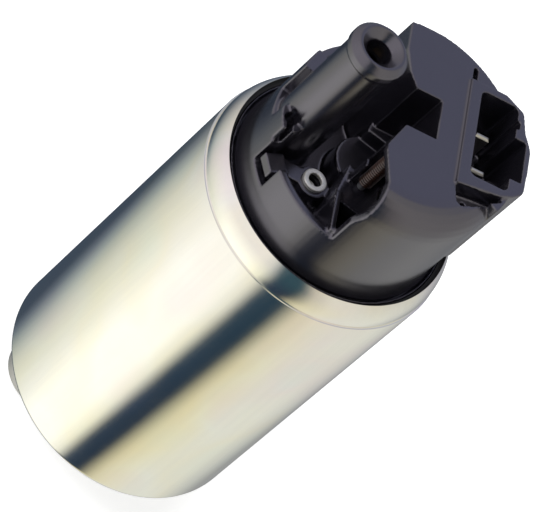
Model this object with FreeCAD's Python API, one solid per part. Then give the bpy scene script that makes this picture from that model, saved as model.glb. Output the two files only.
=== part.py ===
import FreeCAD, Part
import math
import os
from FreeCAD import Vector

# In-tank electric fuel pump. Lengths are in millimetres, angles in degrees.
# Heights are written up from the lower end of the steel shell, along the pump's axis.
# At the end every piece is moved down, so that the origin lies on the axis at the middle
# of the straight shell wall, where the clamp holds the pump. +Z points to the outlet and
# +X is the side with the plug socket.

# Clearances
seat_gap = 0.05            # between a round piece and the bore that it is pressed or laid in
running_gap = 0.03         # radial play of the turning shaft in its bearings
slide_gap = 0.15           # play round a sliding brush, each side
hair_gap = 0.05            # axial play between moving faces
press_gap = 0.01           # left between a pressed metal piece and its bore
overcut = 0.5              # how far a cutting body stands out of the face that it opens
lap = 1.0                  # how far the forms of one moulding run into each other
same = 0.000001            # heights closer than this are the same

# Steel shell, rolled in over the pump at both ends
shell_r = 19.0
shell_wall = 1.0
shell_height = 60.0
foot_thick = 0.8           # thickness of the lower rolled lip
foot_lip = 2.5             # width of the lower lip, from the outside
foot_corner_r = 1.2
crimp_band = 4.2           # length of the thinned band under the upper rim
crimp_step = 0.25          # depth of that band's step
lip_width = 1.5            # width of the upper lip, from the outside
lip_thick = 0.85
roll_facets = 2            # flat rings that make up a rolled corner

# Inlet cover, die-cast, with the inlet stub
inlet_plate = 7.2          # from the lower lip to the impeller
inlet_boss = 0.9           # its face stands down through the lip by this
inlet_boss_gap = 0.1
stub_r = 6.0
stub_length = 6.0          # below the shell
stub_bore_r = 4.2
stub_bore_roof = 4.0       # the wide bore stops this far above the shell's lower end
stub_inset = 0.2           # between the stub and the lower lip, seen from below
stub_azimuth = 186.0
stub_chamfer = 0.6

# Turbine
casing_wall = 3.15         # round the impeller
impeller_thick = 3.6
impeller_side_gap = 0.1
impeller_rim_gap = 0.2
vane_count = 24
vane_rim = 0.7             # closed rim outside the vanes
vane_length = 2.0
vane_width = 1.8
vane_depth = 1.5
vane_tilt = 20.0
channel_depth = 1.4
channel_margin = 0.2       # the channel is wider than the vanes by this, each side
channel_sweep = 300.0
channel_lead = 4.0         # it starts this far before the inlet port
port_r = 1.0
port_back = 12.0           # the outlet port lies this far before the channel's end
casing_plate = 7.0         # above the impeller

# Shaft and bearings
shaft_r = 2.0
shaft_flat = 0.5           # depth of the flat that drives the impeller
lower_bush_r = 4.0
upper_bush_r = 3.1
upper_bush_length = 4.6
button_r = 2.1
button_height = 1.4
washer_r = 3.4
washer_thick = 0.8

# Motor
magnet_thick = 4.55
magnet_span = 140.0
skirt_length = 8.8         # the cover reaches down to the magnets by this
clip_thick = 0.6
clip_leg = 2.4
clip_inset = 3.0           # a clip is this much shorter than a magnet, each end
air_gap = 0.7
rotor_room = 1.0           # between commutator and brush plate
core_rise = 4.6            # from the casing to the core
slot_count = 8
slot_inner_r = 5.4
slot_rim = 1.4             # steel outside the slots
tooth_width = 2.6
slot_mouth = 1.6
winding_clear = 0.3
end_turn_height = 2.6
end_turn_reach = 0.3       # end turns stand past the slots by this
end_turn_bevel = 1.0
commutator_inset = 2.7     # from the core's outside
commutator_base_height = 2.8
commutator_disc = 2.4
commutator_bore_r = 3.9
segment_slit = 0.5

# Brushes, each in a channel of the brush plate and the outlet cover
brush_wide = 4.1
brush_deep = 4.9
brush_length = 10.0
brush_out = 6.72           # from the axis
brush_azimuth = -104.7
brush_bevel = 0.4
brush_spring_r = 1.9
brush_spring_hole_r = 1.3
lead_wide = 1.0            # flat copper braid
lead_thick = 0.4
channel_rise = 7.6         # the brush channels' roof stands over the shell by this
channel_wall = 0.6
plate_gap = 0.1            # round the brush plate
plate_thick = 3.2

# Outlet cover, black moulding: flange
cover_sunk = 4.4           # its underside lies this far below the shell's upper end
skirt_wall = 1.5           # with the gap round it
seal_height = 0.85
bead_wide = 0.4
bead_drop = 0.1            # below the lip
groove_wide = 0.7
groove_deep = 1.35

# Outlet cover: boss with its well
boss_inset = 3.2           # from the shell's outside
boss_wall = 1.2
rim_near = shell_height + 8.1
rim_far = shell_height + 11.8
rim_far_from = 100.0
rim_far_to = 150.0
shield_top = shell_height + 14.1   # solid rib between the nipple and the rim
shield_from = 148.0
shield_to = 163.0
shield_inner_r = 11.2
well_floor = shell_height + 2.4
centre_hub_r = 4.8
centre_hub_top = shell_height + 6.4

# Outlet cover: tower on the plug side
tower_top = shell_height + 19.35
tower_left_x = -3.2
tower_left_y = 11.0        # its left side bends here
tower_heel_x = -2.2
tower_heel_y = 7.4
notch_left = -1.6
notch_right = 3.1
notch_near = -1.3
notch_far = 5.2
notch_slant = 0.7          # the notch's far left corner lies this much further right
notch_floor = shell_height + 9.4
belly_x = -3.9             # furthest left point of the near part
belly_y = -5.9
edge_y = -11.4             # the near wall's left edge starts here
edge_foot_x = -4.2         # that edge is an S: foot, bend, waist and head
edge_foot_z = shell_height + 12.8
edge_bend_x = -3.8
edge_bend_z = shell_height + 13.9
edge_waist_x = -3.4
edge_waist_z = shell_height + 15.3
edge_head_x = -2.7
near_round_r = 4.2
near_round_from = -170.0
near_round_to = -30.0
near_round_facets = 6
hollow_wall = 1.2
hollow_right = 2.4
hollow_facets = 2
rib_x = -4.6
rib_thick = 0.8
rib_top = shell_height + 9.0
rib_end_y = -8.0
stay_x = -3.2              # small upright rib beside the choke
stay_y = -4.9
stay_wide = 1.2
stay_thick = 0.5
stay_top = shell_height + 13.3

# Outlet nipple with its check valve
nipple_x = -11.18
nipple_y = 0.93
nipple_r = 3.95
nipple_top = shell_height + 28.3
nipple_bore_r = 1.8
nipple_bead_r = 4.3
nipple_bead_drop = 2.2     # from the tip to the bead's lower edge
nipple_bead_length = 1.2
nipple_tip_r = 3.4
valve_chamber_r = 2.65
valve_chamber_drop = 4.5   # from the tip to the chamber's roof
valve_seat_rise = 6.8      # above the shell's upper end
valve_seat_length = 4.0
valve_hole_r = 1.5
valve_cone = 0.6
poppet_r = 2.2
poppet_head = 1.4
poppet_nose = 0.5          # the nose stands this far down into the seat
poppet_stem_r = 0.85
poppet_stem_room = 0.6     # between the stem's end and the roof
guide_height = 2.6
guide_hub_r = 1.5
guide_spoke = 0.8
guide_spoke_count = 3
valve_spring_r = 1.9
valve_spring_hole_r = 1.4
keyhole_r = 0.95           # upright hole in a pad on the rim, in front of the nipple
keyhole_x = -14.3
keyhole_y = -2.04
keyhole_neck = 0.8
keyhole_deep = 3.2
keyhole_pad_r = 2.1
keyhole_pad_top = shell_height + 11.0

# Relief valve
relief_x = -6.9
relief_y = -5.5
post_r = 2.4
post_top = shell_height + 5.4
relief_bore_r = 1.4
relief_seat_z = shell_height - 1.4
relief_seat_r = 0.85
relief_poppet_r = 1.2
relief_poppet_length = 2.2
relief_nose = 0.7
sleeve_r = 1.75
sleeve_flange = 0.6
sleeve_shank = 1.2
sleeve_hole_r = 0.8
relief_spring_r = 1.2
relief_spring_hole_r = 0.8

# Plug socket
socket_top = shell_height + 19.9
socket_foot = shell_height + 2.0
socket_left = 6.7
socket_near = -6.8
socket_far = 10.8
socket_right = 15.3
socket_near_x = 13.4       # corners of its outline, going round
socket_near_y = -5.8
socket_turn_y = -5.0
latch_right = 17.0
latch_near = -3.8
latch_near_x = 16.8
latch_far = 6.1
latch_far_x = 15.9
latch_slant = 3.2
latch_heel = 2.4
socket_far_y = 9.2
socket_far_x = 12.3
socket_corner_r = 1.2
cavity_left = 8.5
cavity_near = -4.5
cavity_far = 9.6
cavity_right = 14.4
cavity_floor = shell_height + 9.6
cavity_corner_r = 0.9
latch_slot_right = 16.2
latch_slot_near = -2.2
latch_slot_far = 4.6
key_slot_near = 6.2        # second, shallow key slot beside the latch
key_slot_far = 7.6
key_slot_right = 14.9

# Small recesses in the tower's top round the socket
seam_x = 6.8               # thin groove along the socket's left wall
seam_wide = 0.3
seam_deep = 0.5
seam_near = -6.3
ledge_floor = shell_height + 17.0
ledge_left = 6.9           # sunk ledge along the socket's near wall, going round it
ledge_far = -6.6
ledge_bend_x = 7.35
ledge_bend_y = -9.1
ledge_near_x = 8.2
ledge_near_y = -9.6
ledge_mid_x = 10.1
ledge_mid_y = -8.6
ledge_right = 14.0
ledge_right_y = -6.2
slot_x = 7.4               # short slot in the far corner
slot_wide = 0.6
slot_near = 11.0
slot_far = 13.1
slot_deep = 1.4
dimple_r = 0.45            # two moulding dimples in the ledge
dimple_deep = 1.5
dimple_a_x = 8.2
dimple_b_x = 9.6
dimple_y = -7.7

# Terminals and choke
pin_x = 11.4
pin_mid_y = 2.5
pin_half_pitch = 2.95
pin_wide = 2.3
pin_thick = 0.8
pin_top = shell_height + 16.3
pin_bevel = 0.25
strap_a_z = shell_height + 7.4
strap_thick = 0.8
strap_over = 1.0           # the second strap reaches this far past its brush lead
tail_clear = 0.2
tail_top = shell_height + 16.6
choke_x = -1.5
choke_y = -5.4
choke_foot = shell_height + 8.7
choke_core_r = 0.6
choke_core_length = 8.6
choke_wire_r = 0.2
choke_turns = 5
choke_pitch = 1.3
choke_wire_sides = 6

# Lug in a notch of the boss wall, joined to the relief valve's post
lug_azimuth = -155.5
lug_wide = 3.0
lug_reach = 3.1            # inwards from the boss's outside
lug_sunk = 0.2             # its end stands back from the boss's outside
lug_top = shell_height + 6.1
lug_thick = 1.7
lug_gap = 0.55             # between lug and notch, each side
lug_notch_floor = shell_height + 3.3
bridge_wide = 2.6          # from the lug to the post

# Sizes that follow from the ones above
press_r = shell_r - shell_wall - seat_gap
foot_r = shell_r - foot_lip
lip_r = shell_r - lip_width
stub_radius_out = foot_r - stub_inset - stub_r
impeller_r = press_r - casing_wall - impeller_rim_gap
vane_outer_r = impeller_r - vane_rim
vane_inner_r = vane_outer_r - vane_length
impeller_floor = foot_thick + inlet_plate
impeller_room = impeller_thick + 2 * impeller_side_gap
casing_top = impeller_floor + impeller_room + casing_plate
shell_bore_r = shell_r - shell_wall
band_r = shell_r - crimp_step
roll_r = band_r - lip_r
cover_underside = shell_height - cover_sunk
skirt_inner_r = shell_bore_r - skirt_wall
plate_r = skirt_inner_r - plate_gap
plate_bottom = cover_underside - plate_thick
magnet_inner_r = press_r - magnet_thick
magnet_top = cover_underside - skirt_length
commutator_face = plate_bottom - rotor_room
commutator_foot = commutator_face - commutator_disc - commutator_base_height
core_bottom = casing_top + core_rise
core_top = commutator_foot - end_turn_height
core_r = magnet_inner_r - air_gap
slot_outer_r = core_r - slot_rim
commutator_r = core_r - commutator_inset
end_turn_inner_r = slot_inner_r - end_turn_reach
end_turn_outer_r = slot_outer_r + end_turn_reach
lip_under = shell_height - lip_thick
seal_bottom = lip_under - seal_height
boss_r = shell_r - boss_inset
bead_inner_r = boss_r + groove_wide
bead_outer_r = bead_inner_r + bead_wide
bead_top = lip_under - bead_drop
groove_floor = bead_top - groove_deep
seal_inner_r = bead_outer_r + seat_gap
brush_foot = commutator_face + hair_gap
brush_top = brush_foot + brush_length
channel_roof = shell_height + channel_rise
nipple_bead_bottom = nipple_top - nipple_bead_drop
valve_chamber_roof = nipple_top - valve_chamber_drop
valve_seat_bottom = shell_height + valve_seat_rise
poppet_stem_top = valve_chamber_roof - poppet_stem_room
shaft_foot = impeller_floor - inlet_plate / 2
shaft_head = cover_underside - hair_gap
straight_bottom = foot_corner_r
straight_top = shell_height - crimp_band
clamp_height = (straight_bottom + straight_top) / 2
mean_vane_r = (vane_inner_r + vane_outer_r) / 2
reach = shell_r + lap


def cyl(r, z0, z1, x=0.0, y=0.0):
    return Part.makeCylinder(r, z1 - z0, Vector(x, y, z0))


def tube(r_out, r_in, z0, z1, x=0.0, y=0.0):
    return cyl(r_out, z0, z1, x, y).cut(cyl(r_in, z0, z1, x, y))


def block(x0, x1, y0, y1, z0, z1):
    return Part.makeBox(x1 - x0, y1 - y0, z1 - z0, Vector(x0, y0, z0))


def turned(shape, degrees, x=0.0, y=0.0):
    copy = shape.copy()
    copy.rotate(Vector(x, y, 0), Vector(0, 0, 1), degrees)
    return copy


def wedge(r, z0, z1, start, end):
    whole = Part.makeCylinder(r, z1 - z0, Vector(0, 0, z0), Vector(0, 0, 1), end - start)
    return turned(whole, start)


def prism(points, z0, z1):
    corners = [Vector(x, y, z0) for x, y in points]
    face = Part.Face(Part.makePolygon(corners + corners[:1]))
    return face.extrude(Vector(0, 0, z1 - z0))


def side_prism(points, y0, y1):
    """A prism along Y with a closed outline of (x, height) points."""
    corners = [Vector(x, y0, z) for x, z in points]
    face = Part.Face(Part.makePolygon(corners + corners[:1]))
    return face.extrude(Vector(0, y1 - y0, 0))


def revolved(points, angle=360.0):
    """Turns a closed half section of (radius, height) points about the axis."""
    corners = [Vector(r, 0, z) for r, z in points]
    face = Part.Face(Part.makePolygon(corners + corners[:1]))
    return face.revolve(Vector(0, 0, 0), Vector(0, 0, 1), angle)


def quarter(centre_r, centre_z, radius, start, facets):
    """Points on a quarter round of a half section, from one angle to 90 degrees on."""
    turns = [math.radians(start + 90.0 * i / facets) for i in range(facets + 1)]
    return [(centre_r + radius * math.cos(t), centre_z + radius * math.sin(t)) for t in turns]


def spread(shape, count):
    return [turned(shape, 360.0 * i / count) for i in range(count)]


def polar(radius, degrees):
    return radius * math.cos(math.radians(degrees)), radius * math.sin(math.radians(degrees))


def shell():
    """One steel tube: straight wall, thinned upper band, both ends rolled in."""
    foot = quarter(shell_r - foot_corner_r, foot_corner_r, foot_corner_r, -90, roll_facets)
    roll = quarter(lip_r, shell_height - roll_r, roll_r, 0, roll_facets)
    return revolved(
        [(foot_r, 0.0)] + foot + [(shell_r, straight_top), (band_r, straight_top)] + roll
        + [(lip_r, lip_under), (shell_bore_r, lip_under), (shell_bore_r, foot_thick),
           (foot_r, foot_thick)])


def flow_channel(at_height, upward):
    """The ring channel that the vanes run along, open towards the impeller."""
    half = (vane_outer_r - vane_inner_r) / 2 + channel_margin
    sign = 1.0 if upward else -1.0
    low, high = sorted((at_height - sign * overcut, at_height + sign * channel_depth))
    ring = tube(mean_vane_r + half, mean_vane_r - half, low, high)
    start = stub_azimuth - channel_lead
    return ring.common(wedge(shell_r, low, high, start, start + channel_sweep))


def inlet_cover():
    """Die-cast end with the off-centre stub and the lower flow channel."""
    x, y = polar(stub_radius_out, stub_azimuth)
    body = cyl(press_r, foot_thick, impeller_floor)
    body = body.fuse([cyl(foot_r - inlet_boss_gap, foot_thick - inlet_boss, foot_thick),
                      cyl(stub_r, -stub_length, foot_thick, x, y)]).removeSplitter()
    rim = [e for e in body.Edges if abs(e.BoundBox.ZMax + stub_length) < same]
    body = body.makeChamfer(stub_chamfer, rim)
    body = body.cut(cyl(stub_bore_r, -stub_length, stub_bore_roof, x, y))
    px, py = polar(mean_vane_r, stub_azimuth)
    body = body.cut(cyl(port_r, stub_bore_roof - overcut, impeller_floor, px, py))
    body = body.cut(flow_channel(impeller_floor, False))
    return body.cut(cyl(button_r + seat_gap, shaft_foot - hair_gap - button_height,
                        impeller_floor))


def thrust_button():
    """Hardened pad under the shaft's end."""
    return cyl(button_r, shaft_foot - hair_gap - button_height, shaft_foot - hair_gap)


def d_rod(radius, z0, z1):
    """A round rod with the flat on its +X side."""
    flat_x = radius - shaft_flat
    return cyl(radius, z0, z1).cut(block(flat_x, radius + lap, -radius, radius, z0, z1))


def impeller():
    """Turbine wheel: a closed rim, slanted vane pockets in both faces, and a D-shaped hole."""
    z0 = impeller_floor + impeller_side_gap
    z1 = z0 + impeller_thick
    half = vane_width / 2
    pocket = block(vane_inner_r, vane_outer_r, -half, half, 0.0, vane_depth)
    low = turned(pocket, vane_tilt, mean_vane_r, 0.0)
    high = turned(pocket, -vane_tilt, mean_vane_r, 0.0)
    low.translate(Vector(0, 0, z0))
    high.translate(Vector(0, 0, z1 - vane_depth))
    cuts = Part.makeCompound(spread(low, vane_count) + spread(high, vane_count))
    wheel = cyl(impeller_r, z0, z1).cut(cuts)
    return wheel.cut(d_rod(shaft_r + hair_gap, z0, z1))


def pump_casing():
    """Cup over the impeller, with the upper flow channel, outlet port and bearing seat."""
    ceiling = impeller_floor + impeller_room
    body = cyl(press_r, impeller_floor, casing_top)
    body = body.cut(cyl(impeller_r + impeller_rim_gap, impeller_floor, ceiling))
    body = body.cut(flow_channel(ceiling, True))
    ox, oy = polar(mean_vane_r, stub_azimuth + channel_sweep - port_back)
    body = body.cut(cyl(port_r, ceiling, casing_top, ox, oy))
    return body.cut(cyl(lower_bush_r + seat_gap, ceiling, casing_top))


def lower_bearing():
    """Sintered bush through the casing's plate."""
    return tube(lower_bush_r, shaft_r + running_gap, casing_top - casing_plate, casing_top)


def shaft():
    """Steel shaft with the impeller's flat."""
    flat = block(shaft_r - shaft_flat, shaft_r + lap, -shaft_r, shaft_r,
                 shaft_foot, impeller_floor + impeller_room)
    return cyl(shaft_r, shaft_foot, shaft_head).cut(flat)


def thrust_washer():
    z0 = casing_top + hair_gap
    return tube(washer_r, shaft_r, z0, z0 + washer_thick)


def magnet(middle):
    """One arc of ferrite, standing on the casing."""
    ring = tube(press_r, magnet_inner_r, casing_top, magnet_top)
    return ring.common(wedge(shell_r, casing_top, magnet_top,
                             middle - magnet_span / 2, middle + magnet_span / 2))


def magnet_clips():
    """Two spring clips that push the magnets apart against the shell."""
    free = 180.0 - magnet_span
    z0 = casing_top + clip_inset
    z1 = magnet_top - clip_inset
    inset = math.degrees(seat_gap / press_r)
    clips = []
    for middle in (90.0, 270.0):
        start = middle - free / 2
        end = middle + free / 2
        back = tube(press_r, press_r - clip_thick, z0, z1)
        back = back.common(wedge(shell_r, z0, z1, start + inset, end - inset))
        leg = block(press_r - clip_leg, press_r - clip_thick / 2,
                    seat_gap, seat_gap + clip_thick, z0, z1)
        other = leg.mirror(Vector(0, 0, 0), Vector(0, 1, 0))
        clip = back.fuse([turned(leg, start), turned(other, end)])
        clips.append(clip.removeSplitter())
    return Part.makeCompound(clips)


def slot(z0, z1, inset, mouth):
    """The space between two teeth, drawn in by the inset, about the +X axis."""
    half_pitch = math.radians(180.0 / slot_count)
    tooth = tooth_width / 2 / math.cos(half_pitch)
    near = slot_inner_r + inset
    far = slot_outer_r - inset
    near_half = near * math.tan(half_pitch) - tooth - inset
    far_half = far * math.tan(half_pitch) - tooth - inset
    body = prism([(near, -near_half), (far, -far_half), (far, far_half), (near, near_half)],
                 z0, z1)
    if mouth:
        body = body.fuse(block(far - overcut, core_r + lap, -slot_mouth / 2, slot_mouth / 2,
                               z0, z1))
    return body


def armature_core():
    """Stack of toothed steel sheets, coated against the windings."""
    disc = cyl(core_r, core_bottom, core_top).cut(cyl(shaft_r, core_bottom, core_top))
    slots = spread(slot(core_bottom, core_top, 0.0, True), slot_count)
    return disc.cut(Part.makeCompound(slots))


def regular(radius, count, z0, z1):
    return prism([polar(radius, 360.0 * i / count) for i in range(count)], z0, z1)


def armature_windings():
    """Copper in the slots, joined by a bundle of end turns that runs from slot to slot."""
    bars = spread(slot(core_bottom - overcut, core_top + overcut, winding_clear, False),
                  slot_count)
    ends = []
    for z0, outer in ((core_bottom - end_turn_height, core_bottom - end_turn_height),
                      (core_top, core_top + end_turn_height)):
        z1 = z0 + end_turn_height
        ring = regular(end_turn_outer_r, slot_count, z0, z1)
        edges = [e for e in ring.Edges if abs(e.BoundBox.ZMin - outer) < same
                 and abs(e.BoundBox.ZMax - outer) < same]
        ring = ring.makeChamfer(end_turn_bevel, edges)
        ends.append(ring.cut(regular(end_turn_inner_r, slot_count, z0, z1)))
    return ends[0].fuse([ends[1]] + bars).removeSplitter()


def commutator_base():
    """Moulded carrier on the shaft."""
    return tube(commutator_r, shaft_r, commutator_foot,
                commutator_foot + commutator_base_height)


def commutator_segments():
    """Eight carbon-copper sectors that make one flat running face."""
    z0 = commutator_foot + commutator_base_height
    ring = tube(commutator_r, commutator_bore_r, z0, commutator_face)
    slit = block(0.0, commutator_r + lap, -segment_slit / 2, segment_slit / 2, z0,
                 commutator_face)
    return ring.cut(Part.makeCompound(spread(slit, slot_count)))


def at_brush(shape, side):
    """Puts a piece drawn on the +X axis at a brush. side is 0 or 1."""
    return turned(shape, brush_azimuth + 180.0 * side)


def brush(side):
    body = block(brush_out - brush_deep / 2, brush_out + brush_deep / 2,
                 -brush_wide / 2, brush_wide / 2, brush_foot, brush_top)
    top = [e for e in body.Edges if abs(e.BoundBox.ZMin - brush_top) < same]
    return at_brush(body.makeChamfer(brush_bevel, top), side)


def brush_channel(side, z0, z1, grow=0.0):
    deep = brush_deep / 2 + slide_gap + grow
    wide = brush_wide / 2 + slide_gap + grow
    return at_brush(block(brush_out - deep, brush_out + deep, -wide, wide, z0, z1), side)


def brush_spring(side):
    """The coil's own space between the brush and the channel's roof."""
    return at_brush(tube(brush_spring_r, brush_spring_hole_r, brush_top, channel_roof,
                         brush_out, 0.0), side)


def brush_lead(side):
    """The flat braid inside the spring, from the brush to the channel's roof."""
    return at_brush(block(brush_out - lead_thick / 2, brush_out + lead_thick / 2,
                          -lead_wide / 2, lead_wide / 2, brush_top, channel_roof), side)


def brush_plate():
    """Disc under the cover with the upper bearing's seat and the two brush channels."""
    body = cyl(plate_r, plate_bottom, cover_underside)
    body = body.cut(cyl(upper_bush_r + seat_gap, cover_underside - upper_bush_length,
                        cover_underside))
    body = body.cut(cyl(valve_chamber_r, plate_bottom, cover_underside, nipple_x, nipple_y))
    body = body.cut(cyl(relief_seat_r, plate_bottom, cover_underside, relief_x, relief_y))
    for side in (0, 1):
        body = body.cut(brush_channel(side, plate_bottom, cover_underside))
    return body


def upper_bearing():
    return tube(upper_bush_r, shaft_r + running_gap, cover_underside - upper_bush_length,
                cover_underside)


def cover_flange():
    """Skirt on the magnets, plate, bead ring with its groove, and the boss."""
    section = [(0.0, cover_underside), (skirt_inner_r, cover_underside),
               (skirt_inner_r, magnet_top), (press_r, magnet_top), (press_r, seal_bottom),
               (bead_outer_r, seal_bottom), (bead_outer_r, bead_top),
               (bead_inner_r, bead_top), (bead_inner_r, groove_floor),
               (boss_r, groove_floor), (boss_r, rim_near), (0.0, rim_near)]
    return revolved(section)


def tower_plan(z0, z1):
    """Plan of the tower: a bent left side, the notch, and the bulge over the first brush."""
    return prism([(tower_left_x, reach), (tower_left_x, tower_left_y),
                  (tower_heel_x, tower_heel_y), (notch_left + notch_slant, notch_far),
                  (notch_right, notch_far), (notch_right, notch_near),
                  (notch_left, notch_near), (belly_x, belly_y), (edge_head_x, edge_y),
                  (edge_foot_x, edge_y), (edge_foot_x, -reach), (reach, -reach),
                  (reach, reach)], z0, z1)


def beside_wall_edge():
    """What is cut away left of the S-shaped edge of the tower's near wall."""
    return side_prism([(-reach, rim_near), (edge_foot_x, rim_near),
                       (edge_foot_x, edge_foot_z), (edge_bend_x, edge_bend_z),
                       (edge_waist_x, edge_waist_z), (edge_head_x, tower_top),
                       (edge_head_x, tower_top + lap), (-reach, tower_top + lap)],
                      -reach, edge_y)


def outside_round(radius, centre_r, centre_z, facets, start, end):
    """What lies outside a quarter round on the tower's top edge."""
    points = [(reach, centre_z)] + quarter(centre_r, centre_z, radius, 0, facets)
    points += [(centre_r, tower_top + lap), (reach, tower_top + lap)]
    return turned(revolved(points, end - start), start)


def tower():
    """The high part of the moulding, rounded along its near top edge."""
    body = tower_plan(rim_near - lap, tower_top).common(cyl(boss_r, rim_near - lap, tower_top))
    body = body.cut(outside_round(near_round_r, boss_r - near_round_r,
                                  tower_top - near_round_r, near_round_facets,
                                  near_round_from, near_round_to))
    return body.cut(beside_wall_edge())


def cover_well():
    """The open space inside the boss wall, left of the tower and under its near roof."""
    inner_r = boss_r - boss_wall
    roof = tower_top - hollow_wall
    well = cyl(inner_r, well_floor, tower_top + lap)
    well = well.cut(tower_plan(well_floor, tower_top + lap))
    hollow = cyl(inner_r, well_floor, roof).common(
        block(-boss_r, hollow_right, -boss_r, notch_near - hollow_wall, well_floor, roof))
    hollow = hollow.cut(outside_round(near_round_r - hollow_wall, boss_r - near_round_r,
                                      tower_top - near_round_r, hollow_facets,
                                      near_round_from, near_round_to))
    return well.fuse(hollow).removeSplitter()


def far_rim():
    """The boss wall behind the nipple stands higher."""
    ring = tube(boss_r, boss_r - boss_wall, rim_near - lap, rim_far)
    return ring.common(wedge(shell_r, rim_near - lap, rim_far, rim_far_from, rim_far_to))


def shield(floor):
    """Solid rib that joins the nipple to the rim and stands above both sides of the rim."""
    ring = tube(boss_r, shield_inner_r, floor, shield_top)
    return ring.common(wedge(shell_r, floor, shield_top, shield_from, shield_to))


def near_rib(floor):
    """Thin rib in the well between the relief valve and the first brush."""
    rib = block(rib_x - rib_thick / 2, rib_x + rib_thick / 2, -boss_r, rib_end_y, floor,
                rib_top)
    return rib.common(cyl(boss_r - boss_wall / 2, floor, rib_top))


def stay():
    """Small upright rib on the first brush's roof."""
    return block(stay_x - stay_thick / 2, stay_x + stay_thick / 2,
                 stay_y - stay_wide / 2, stay_y + stay_wide / 2, channel_roof, stay_top)


def nipple():
    """Tapered tip, hose bead and straight hose land of the outlet."""
    bead_top_z = nipple_bead_bottom + nipple_bead_length
    rise = nipple_bead_r - nipple_r
    points = [(0, well_floor - lap), (nipple_r, well_floor - lap),
              (nipple_r, nipple_bead_bottom - rise), (nipple_bead_r, nipple_bead_bottom),
              (nipple_bead_r, bead_top_z), (nipple_tip_r, nipple_top), (0, nipple_top)]
    body = revolved(points)
    body.translate(Vector(nipple_x, nipple_y, 0))
    return body


def keyhole_pad(floor):
    """Small upright pad on the rim, in front of the nipple."""
    pad = cyl(keyhole_pad_r, floor, keyhole_pad_top, keyhole_x, keyhole_y)
    return pad.common(cyl(boss_r, floor, keyhole_pad_top))


def keyhole():
    """Round hole in the pad, with a narrow slot to its front."""
    z0 = keyhole_pad_top - keyhole_deep
    z1 = keyhole_pad_top + lap
    neck = block(keyhole_x - keyhole_neck / 2, keyhole_x + keyhole_neck / 2,
                 keyhole_y - keyhole_pad_r - lap, keyhole_y, z0, z1)
    return cyl(keyhole_r, z0, z1, keyhole_x, keyhole_y).fuse(neck)


def lug():
    """A tongue in the notch of the boss wall, on a bridge to the relief valve's post."""
    half = lug_wide / 2
    tongue = block(boss_r - lug_reach, boss_r - lug_sunk, -half, half, lug_top - lug_thick,
                   lug_top)
    x, y = polar(boss_r - lug_reach, lug_azimuth)
    angle = math.degrees(math.atan2(relief_y - y, relief_x - x))
    length = math.hypot(relief_x - x, relief_y - y)
    bridge = block(-bridge_wide / 2, length, -bridge_wide / 2, bridge_wide / 2,
                   well_floor - lap, post_top)
    bridge = turned(bridge, angle)
    bridge.translate(Vector(x, y, 0))
    return turned(tongue, lug_azimuth).fuse(bridge)


def lug_notch():
    half = lug_wide / 2 + lug_gap
    return turned(block(boss_r - boss_wall - overcut, boss_r + overcut, -half, half,
                        lug_notch_floor, rim_far), lug_azimuth)


def socket_plan(z0, z1):
    """Outline of the plug socket, with the bulge that holds the plug's latch."""
    body = prism([(socket_left, socket_near), (socket_near_x, socket_near_y),
                  (socket_right, socket_turn_y), (latch_near_x, latch_near),
                  (latch_right, latch_near + latch_slant),
                  (latch_right, latch_far - latch_heel), (latch_far_x, latch_far),
                  (socket_right, socket_far_y), (socket_far_x, socket_far),
                  (socket_left, socket_far)], z0, z1)
    uprights = [e for e in body.Edges if e.BoundBox.ZLength > z1 - z0 - same
                and e.BoundBox.XMin > socket_left + lap]
    return body.makeFillet(socket_corner_r, uprights)


def socket_cavity():
    top = socket_top + lap
    main = block(cavity_left, cavity_right, cavity_near, cavity_far, cavity_floor, top)
    uprights = [e for e in main.Edges
                if abs(e.BoundBox.ZLength - main.BoundBox.ZLength) < same]
    main = main.makeFillet(cavity_corner_r, uprights)
    latch_slot = block(cavity_right - lap, latch_slot_right, latch_slot_near, latch_slot_far,
                       cavity_floor, top)
    key_slot = block(cavity_right - lap, key_slot_right, key_slot_near, key_slot_far,
                     cavity_floor, top)
    return main.fuse([latch_slot, key_slot])


def top_recesses():
    """Seam, ledge, slot and dimples in the tower's top, beside the socket."""
    top = tower_top + lap
    half = seam_wide / 2
    cuts = [block(seam_x - half, seam_x + half, seam_near, socket_far, tower_top - seam_deep, top),
            prism([(ledge_left, ledge_far), (ledge_bend_x, ledge_bend_y),
                   (ledge_near_x, ledge_near_y), (ledge_mid_x, ledge_mid_y),
                   (ledge_right, ledge_right_y), (ledge_right, ledge_far + lap)],
                  ledge_floor, top),
            block(slot_x - slot_wide / 2, slot_x + slot_wide / 2, slot_near, slot_far,
                  tower_top - slot_deep, top)]
    for x in (dimple_a_x, dimple_b_x):
        cuts.append(cyl(dimple_r, ledge_floor - dimple_deep, top, x, dimple_y))
    return cuts


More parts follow.
